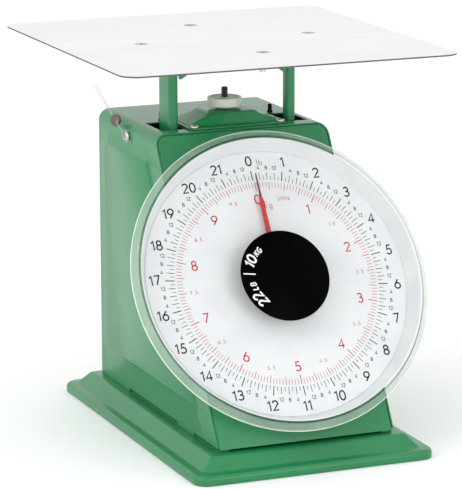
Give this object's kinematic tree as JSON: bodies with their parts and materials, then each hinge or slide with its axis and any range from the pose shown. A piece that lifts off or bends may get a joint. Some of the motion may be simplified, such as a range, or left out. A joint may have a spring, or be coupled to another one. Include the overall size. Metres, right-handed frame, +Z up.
{
  "type": "mechanical dial platform scale",
  "caption": "Spring scale: flat steel platform on two posts over a sloping green case with a round dial, pointer, clear cover, zero knob and pressed base.",
  "frame": {"origin": "on the ground, under the middle of the whole object's box; the base's own middle is 9.8 mm in front of it", "axes": "+X to the right of a person reading the dial, +Y to the back, +Z up"},
  "size_m": [0.238, 0.2826, 0.2641],
  "materials": {
    "green_enamel": "semi-gloss green enamel",
    "stainless": "satin stainless steel",
    "dial_white": "satin white",
    "clear_plastic": "clear moulded plastic",
    "black_plastic": "gloss black",
    "pointer_red": "red paint",
    "ivory_plastic": "satin ivory plastic",
    "zinc_steel": "bright zinc plate",
    "dark_steel": "blackened steel",
    "brass": "drawn brass",
    "seal_lead": "dull grey-brown lead"
  },
  "bodies": {
    "frame": {"base_plate": "green_enamel", "cover_shell": "green_enamel", "front_panel": "green_enamel", "back_panel": "green_enamel", "zero_bridge": "green_enamel", "bridge_screw_1": "zinc_steel", "bridge_screw_2": "zinc_steel", "back_screw_1": "zinc_steel", "back_screw_2": "zinc_steel", "base_screw_1": "zinc_steel", "base_screw_2": "zinc_steel", "main_spring_left": "dark_steel", "main_spring_right": "dark_steel", "spindle_bush": "brass", "bearing_strap": "brass", "dial_plate": "dial_white", "dial_pan": "dial_white", "dial_spacer": "zinc_steel", "dial_cover": "clear_plastic", "centre_disc": "black_plastic", "lower_stay_pin": "zinc_steel", "upper_stay_pin": "zinc_steel", "stay_bracket_left": "zinc_steel", "stay_bracket_right": "zinc_steel", "stop_buffer_left": "black_plastic", "stop_buffer_right": "black_plastic", "seal_screw": "zinc_steel", "lead_seal": "seal_lead", "seal_wire": "zinc_steel"},
    "load_carriage": {"platform_plate": "stainless", "platform_spider": "green_enamel", "platform_screw_1": "zinc_steel", "platform_screw_2": "zinc_steel", "platform_screw_3": "zinc_steel", "platform_screw_4": "zinc_steel", "post_left": "green_enamel", "post_right": "green_enamel", "post_beam": "green_enamel", "stay_stub_lower_left": "zinc_steel", "stay_stub_lower_right": "zinc_steel", "stay_stub_upper_left": "zinc_steel", "stay_stub_upper_right": "zinc_steel", "cradle_bar": "dark_steel", "lower_spring_plug_left": "zinc_steel", "lower_spring_plug_right": "zinc_steel", "drive_arm": "zinc_steel"},
    "rack": {"rack": "brass", "rack_pin": "zinc_steel"},
    "pointer_spindle": {"pinion": "brass", "spindle": "zinc_steel", "pointer": "pointer_red"},
    "lower_stays": {"lower_stay_left": "zinc_steel", "lower_stay_right": "zinc_steel"},
    "upper_stays": {"upper_stay_left": "zinc_steel", "upper_stay_right": "zinc_steel"},
    "zero_knob": {"zero_knob": "ivory_plastic"},
    "zero_beam": {"zero_screw": "dark_steel", "spring_beam": "dark_steel", "upper_spring_plug_left": "zinc_steel", "upper_spring_plug_right": "zinc_steel"}
  },
  "joints": [
    {"name": "platform_travel", "type": "slide", "parent": "frame", "child": "load_carriage", "axis": [0, 0, 1], "range_m": [-0.01626, 0], "stiffness_N_per_m": 6000, "springref_m": 0.003, "deforming": ["main_spring_left", "main_spring_right"]},
    {"name": "rack_travel", "type": "slide", "parent": "frame", "child": "rack", "axis": [0, 0.506, 0.8625], "range_m": [-0.0189, 0]},
    {"name": "pointer_turn", "type": "hinge", "parent": "frame", "child": "pointer_spindle", "pos_m": [0, -0.07236, 0.11313], "axis": [0, -0.8625, 0.506], "range_deg": [-361, 0]},
    {"name": "lower_stay_swing", "type": "hinge", "parent": "frame", "child": "lower_stays", "pos_m": [0, 0.0882, 0.066], "axis": [1, 0, 0], "range_deg": [0, 13.2]},
    {"name": "upper_stay_swing", "type": "hinge", "parent": "frame", "child": "upper_stays", "pos_m": [0, 0.0882, 0.166], "axis": [1, 0, 0], "range_deg": [0, 13.2]},
    {"name": "zero_knob_turn", "type": "hinge", "parent": "frame", "child": "zero_knob", "pos_m": [0, 0.0202, 0.22], "axis": [0, 0, 1], "range_deg": [-361, 361]},
    {"name": "zero_beam_travel", "type": "slide", "parent": "frame", "child": "zero_beam", "axis": [0, 0, 1], "range_m": [-0.0008, 0.0008]}
  ],
  "couplings": [
    {"joint": "rack_travel", "follows": "platform_travel", "ratio": 1.1594},
    {"joint": "pointer_turn", "follows": "platform_travel", "rad_per_m": 386.47},
    {"joint": "lower_stay_swing", "follows": "platform_travel", "rad_per_m": -14.024},
    {"joint": "upper_stay_swing", "follows": "platform_travel", "rad_per_m": -14.024},
    {"joint": "zero_knob_turn", "follows": "zero_beam_travel", "rad_per_m": -7854}
  ]
}
